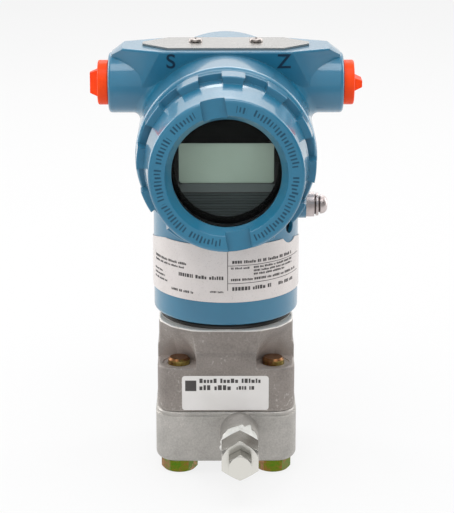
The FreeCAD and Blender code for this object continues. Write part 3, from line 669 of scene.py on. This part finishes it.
def label_print():
    """Rules and rows of dashes on the label, bent round the neck with it."""
    rng = random.Random(7)
    bm = bmesh.new()
    radius = band_radius + 0.02 * mm
    near, far = -ink_depth, ink_depth
    rule_left, rule_right, rule_thick = 0.6 * mm, 48.0 * mm, 0.25 * mm
    upright_low, upright_high, upright_thick = 92.1 * mm, 112.0 * mm, 0.3 * mm
    patch(bm, (rule_left, upright_low), (rule_left + upright_thick, upright_high), near, far)
    for height in (104.7 * mm, 95.6 * mm):
        patch(bm, (rule_left, height), (rule_right, height + rule_thick), near, far, cuts=40)
    # Each row's start and end round the neck, its height and how tall it is, in millimetres
    rows = [(3.0, 40.0, 105.9, 1.5), (14.0, 40.0, 103.0, 1.0), (2.4, 12.0, 103.0, 1.0),
            (14.0, 40.0, 101.3, 1.0), (14.0, 34.0, 99.6, 1.0), (2.4, 44.0, 97.0, 1.2),
            (3.0, 24.0, 92.0, 1.9), (29.0, 42.0, 92.0, 1.6), (-25.5, -1.4, 97.6, 1.8),
            (-46.0, -20.0, 103.6, 1.2), (-46.0, -22.0, 101.6, 1.0), (-47.0, -38.0, 97.0, 0.9),
            (-47.0, -36.0, 94.8, 0.9), (-47.0, -34.0, 92.6, 0.9), (-30.5, -17.0, 89.4, 1.2),
            (-8.0, -1.4, 90.9, 0.9)]
    for start, end, height, tall in rows:
        dashes(bm, rng, start * mm, end * mm, height * mm, tall * mm, near, far)
    for vert in bm.verts:
        across, depth, height = vert.co
        angle = across / radius
        vert.co = ((radius - depth) * math.sin(angle), -(radius - depth) * math.cos(angle), height)
    place_piece(bm, "label_print", "housing", print_ink)


def sticker_print():
    """A dark block and rows of dashes on the module's sticker."""
    rng = random.Random(11)
    bm = bmesh.new()
    near = sticker_low.y - ink_depth
    far = sticker_low.y + ink_depth
    top = sticker_high.z
    left = sticker_low.x
    block_low = (left + 1.6 * mm, top - 8.0 * mm)
    block_high = (left + 7.2 * mm, top - 2.4 * mm)
    patch(bm, block_low, block_high, near, far)
    # Each row's start and end, its foot under the top and how tall it is, in millimetres
    for start, end, foot, tall in ((8.8, 40.0, 3.7, 2.3), (8.8, 25.4, 7.5, 2.6), (27.4, 37.0, 7.3, 1.9)):
        dashes(bm, rng, left + start * mm, left + end * mm, top - foot * mm, tall * mm, near, far)
    place_piece(bm, "sticker_print", "sensor_base", print_ink)


def adjustment_mark(name, letter, across):
    """A letter cut beside an adjustment button, laid on the face of the housing."""
    curve = bpy.data.curves.new(name, "FONT")
    curve.body = letter
    curve.size = mark_size
    curve.offset = mark_boldness
    curve.align_x = "CENTER"
    curve.align_y = "CENTER"
    curve.extrude = mark_depth
    curve.resolution_u = 6
    holder = new_object(name, curve)
    flat = bpy.data.meshes.new_from_object(holder)
    bpy.data.objects.remove(holder)
    bpy.data.curves.remove(curve)
    bm = bmesh.new()
    bm.from_mesh(flat)
    bpy.data.meshes.remove(flat)
    solid = bmesh.new()
    solid.from_mesh(nodes["electronics_housing"].data)
    surface = BVHTree.FromBMesh(solid)
    solid.free()
    hit, normal = surface.ray_cast(Vector((across, cover_front, mark_height)), Vector((0, 1, 0)))[:2]
    turn = normal.to_track_quat("Z", "Y").to_matrix().to_4x4()
    bmesh.ops.transform(bm, matrix=Matrix.Translation(hit) @ turn, verts=bm.verts)
    place_piece(bm, name, "housing", mark_ink)


def grown_from(geometry, kind):
    return [item for item in geometry if isinstance(item, kind)]


def wrapped_tape():
    """Thread tape wound on the vent's thread: thicker towards the boss, ragged, and lumpy on one side."""
    middle = (tape_low + tape_high) / 2
    length = tape_high.y - tape_low.y
    inner = 6.7
    # Shares of the tape's length, and its radius there in millimetres
    stations = [(0.02, 7.5), (0.06, 8.2), (0.2, 8.0), (0.35, 8.5), (0.5, 8.3), (0.62, 8.9), (0.74, 8.8),
                (0.84, 9.5), (0.93, 9.8), (0.97, 9.2), (0.9, inner)]
    lump_side = Vector((0.28, 0.0, 0.96))
    lump_reach = 0.2
    lump_scale, layer_scale, edge_scale = 4.0, 6.0, 9.0
    raggedness = 0.16 * mm
    bm = bmesh.new()
    mouth = Matrix.Translation((middle.x, tape_low.y + 0.06 * length, middle.z))
    upright = Matrix.Rotation(math.pi / 2, 4, "X")
    bmesh.ops.create_circle(bm, segments=120, radius=inner * mm, matrix=mouth @ upright)
    start = bm.edges[:]
    ring = start
    for share, fullness in stations:
        grown = bmesh.ops.extrude_edge_only(bm, edges=ring)["geom"]
        ring = grown_from(grown, bmesh.types.BMEdge)
        wound = (fullness - inner) * mm
        for vert in grown_from(grown, bmesh.types.BMVert):
            around = Vector((vert.co.x - middle.x, 0.0, vert.co.z - middle.z)).normalized()
            rough = noise.noise(around * lump_scale + Vector((0.0, share * layer_scale, 0.0)))
            nearness = max(0.0, around.dot(lump_side) - 1.0 + lump_reach) / lump_reach
            lump = 0.9 * nearness * (0.5 + rough) * share
            ragged = raggedness * noise.noise(around * edge_scale + Vector((0.0, edge_scale + share, 0.0)))
            radius = inner * mm + wound * (0.9 + 0.4 * rough + 0.4 * lump)
            vert.co = Vector((middle.x, tape_low.y + share * length + ragged, middle.z)) + around * radius
    bmesh.ops.bridge_loops(bm, edges=ring + start)
    place_piece(bm, "wrapped_tape", "sensor_base", tape_film, ["thread_tape"])


def cross_recess(reach, half):
    """The outline of a cross recess, by its reach and half the width of its arms."""
    arm = [Vector(corner) for corner in ((reach, half), (half, half), (half, reach))]
    return [Matrix.Rotation(quarter * math.pi / 2, 2) @ corner for quarter in range(4) for corner in arm]


def socket_recess(reach):
    """The outline of a hexagon socket."""
    turns = [step * math.pi / 3 for step in range(6)]
    return [(reach * math.cos(turn), reach * math.sin(turn)) for turn in turns]


def crown(base, top, rise):
    """A rounded crown, in shares of a head's radius and height, from its base to the flat on top."""
    turns = [step * math.pi / 12 for step in range(7)]
    return [(top + (base - top) * math.cos(turn), rise + (1.0 - rise) * math.sin(turn)) for turn in turns]


pan_head = [(1.0, 0.0)] + crown(1.0, 0.7, 0.5)
domed_head = [(0.84, 0.0), (0.84, 0.15), (1.0, 0.2)] + crown(1.0, 0.32, 0.3)


def screw_shape(profile, radius, head, recess, depth, shank_radius=0.0, shank=0.0):
    """A screw standing on its seat: a turned head and shank with a recess sunk in the crown."""
    bm = bmesh.new()
    outline = [(0.0, -shank), (shank_radius, -shank), (shank_radius, 0.0)] if shank else [(0.0, 0.0)]
    outline += [(radius * across, head * up) for across, up in profile]
    corners = [bm.verts.new((across, 0.0, up)) for across, up in outline]
    for first, second in zip(corners, corners[1:]):
        bm.edges.new((first, second))
    bmesh.ops.spin(bm, geom=bm.verts[:] + bm.edges[:], axis=(0, 0, 1), cent=(0, 0, 0), angle=math.tau,
                   steps=round_steps, use_merge=True)
    bmesh.ops.remove_doubles(bm, verts=bm.verts, dist=weld)
    rim = [edge for edge in bm.edges if edge.is_boundary]
    mouth = [bm.verts.new((across, up, head)) for across, up in recess]
    cut = [bm.edges.new((first, second)) for first, second in zip(mouth, mouth[1:] + mouth[:1])]
    bmesh.ops.triangle_fill(bm, use_beauty=True, edges=rim + cut)
    sunk = bmesh.ops.extrude_edge_only(bm, edges=cut)["geom"]
    bmesh.ops.translate(bm, verts=grown_from(sunk, bmesh.types.BMVert), vec=(0, 0, -depth))
    bmesh.ops.triangle_fill(bm, use_beauty=True, edges=grown_from(sunk, bmesh.types.BMEdge))
    shape = bpy.data.meshes.new("screw_shape")
    bm.to_mesh(shape)
    bm.free()
    return shape


def set_screws(name, shape, seats, along, finish):
    """Screws of one shape on their seats, standing for the plain node of the same name."""
    bm = bmesh.new()
    turn = Vector(along).to_track_quat("Z", "Y").to_matrix().to_4x4()
    for seat in seats:
        count = len(bm.verts)
        bm.from_mesh(shape)
        bmesh.ops.transform(bm, matrix=Matrix.Translation(seat) @ turn, verts=bm.verts[count:])
    bpy.data.meshes.remove(shape)
    place_piece(bm, name + "_driven", "housing", finish, [name])


def nameplate_screws():
    low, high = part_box("nameplate_screws")
    radius = (high.y - low.y) / 2
    head = 1.4 * mm
    recess = cross_recess(0.58 * radius, 0.11 * radius)
    shape = screw_shape(pan_head, radius, head, recess, depth=1.0 * mm, shank_radius=1.6 * mm,
                        shank=high.z - low.z - head)
    seats = [(x, (low.y + high.y) / 2, high.z - head) for x in (low.x + radius, high.x - radius)]
    set_screws("nameplate_screws", shape, seats, (0, 0, 1), dull_steel)


def ground_screw():
    low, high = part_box("ground_screw")
    radius = (high.y - low.y) / 2
    head = 4.6 * mm
    recess = socket_recess(0.26 * radius)
    shape = screw_shape(domed_head, radius, head, recess, depth=1.2 * mm, shank_radius=2.5 * mm,
                        shank=high.x - low.x - head)
    seat = (high.x - head, (low.y + high.y) / 2, (low.z + high.z) / 2)
    set_screws("ground_screw", shape, [seat], (1, 0, 0), ground_steel)


def terminal_screws(name, count):
    """A row of screws in the terminal compartment, their heads towards its mouth."""
    low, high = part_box(name)
    radius = (high.z - low.z) / 2
    head = high.y - low.y
    recess = cross_recess(0.6 * radius, 0.12 * radius)
    shape = screw_shape(pan_head, radius, head, recess, depth=0.6 * head)
    first, last = low.x + radius, high.x - radius
    pitch = (last - first) / max(1, count - 1)
    seats = [(first + pitch * step, low.y, (low.z + high.z) / 2) for step in range(count)]
    set_screws(name, shape, seats, (0, 1, 0), bright_steel)


label_print()
sticker_print()
wrapped_tape()
nameplate_screws()
ground_screw()
terminal_screws("terminal_screws", 3)
terminal_screws("terminal_fixings", 2)
terminal_screws("inner_ground_screw", 1)
adjustment_mark("span_mark", "S", -26.9 * mm)
adjustment_mark("zero_mark", "Z", 28.3 * mm)


# Studio
floor_half = 4.0
floor_back = 1.5
front_shade = 0.3
backdrop_white = 0.96
room_fill = 0.6
room_front, room_back = 0.12, 1.05
lamp_target = Vector((0.0, 0.0, 0.12))
camera_tilt, camera_turn = 16.28, -0.27


def studio_floor():
    """A pale floor that looks white, and mirrors darker in front of the object."""
    bm = bmesh.new()
    bmesh.ops.create_grid(bm, x_segments=1, y_segments=1, size=floor_half)
    bmesh.ops.translate(bm, verts=bm.verts, vec=(0, floor_back, bolts_low.z))
    mesh = bpy.data.meshes.new("studio_floor")
    bm.to_mesh(mesh)
    bm.free()
    floor = new_object("studio_floor", mesh)
    material, shader, place = new_finish("pale_floor")
    fit(shader, {"Base Color": between(grain(place, scale=3.0), floor_deep, floor_light), "Roughness": 0.9})
    mirrored = ray(place, "Is Glossy Ray")
    seen = highest(highest(ray(place, "Is Camera Ray"), mirrored), ray(place, "Is Transmission Ray"))
    front = mirrored * falling(part_along(place, "Y"), -0.5, -0.2)
    tone = backdrop_white - front * (backdrop_white - front_shade)
    glow = place.node("ShaderNodeEmission", {}, {"Color": tone, "Strength": 1.0})
    mix_surface(material, seen * 0.85, shader, glow)
    mesh.materials.append(material)


def studio_world():
    """A white backdrop, and a room that mirrors bright behind the object and dark in front of it."""
    world = bpy.data.worlds.new("studio_world")
    scene.world = world
    world.use_nodes = True
    tree = world.node_tree
    coordinates = tree.nodes.new("ShaderNodeTexCoord")
    heading = Wire(coordinates.outputs["Generated"])
    backdrop = highest(ray(heading, "Is Camera Ray"), ray(heading, "Is Transmission Ray"))
    room = span(part_along(heading, "Y"), -0.3, 0.4, room_front, room_back) - room_fill
    strength = room_fill + backdrop * (backdrop_white - room_fill) + ray(heading, "Is Glossy Ray") * room
    fit(tree.nodes["Background"], {"Color": (1.0, 1.0, 1.0, 1.0), "Strength": strength})


def soft_box(name, place, width, height, power):
    """A rectangular lamp that looks at the middle of the object."""
    lamp = bpy.data.lights.new(name, "AREA")
    lamp.shape = "RECTANGLE"
    lamp.size = width
    lamp.size_y = height
    lamp.energy = power
    holder = new_object(name, lamp)
    holder.location = place
    holder.rotation_euler = (lamp_target - Vector(place)).to_track_quat("-Z", "Y").to_euler()


def photo_camera():
    camera = bpy.data.cameras.new("photo_camera")
    camera.sensor_width = 36.0
    camera.lens = 140.35
    holder = new_object("photo_camera", camera)
    holder.location = (-4.03 * mm, -980.7 * mm, 385.3 * mm)
    holder.rotation_euler = (math.radians(90 - camera_tilt), 0.0, math.radians(camera_turn))
    scene.camera = holder


scene.view_settings.view_transform = "Standard"
studio_floor()
studio_world()
soft_box("back_box", (0.0, 0.95, 0.95), width=1.1, height=0.5, power=4.6)
soft_box("overhead_box", (0.0, -0.35, 1.1), width=1.2, height=0.5, power=7.0)
soft_box("left_box", (-0.9, 0.5, 0.35), width=0.4, height=0.9, power=4.5)
soft_box("right_box", (0.9, 0.5, 0.35), width=0.4, height=0.9, power=3.5)
soft_box("front_box", (-0.25, -1.3, 0.7), width=1.8, height=1.4, power=4.4)
photo_camera()
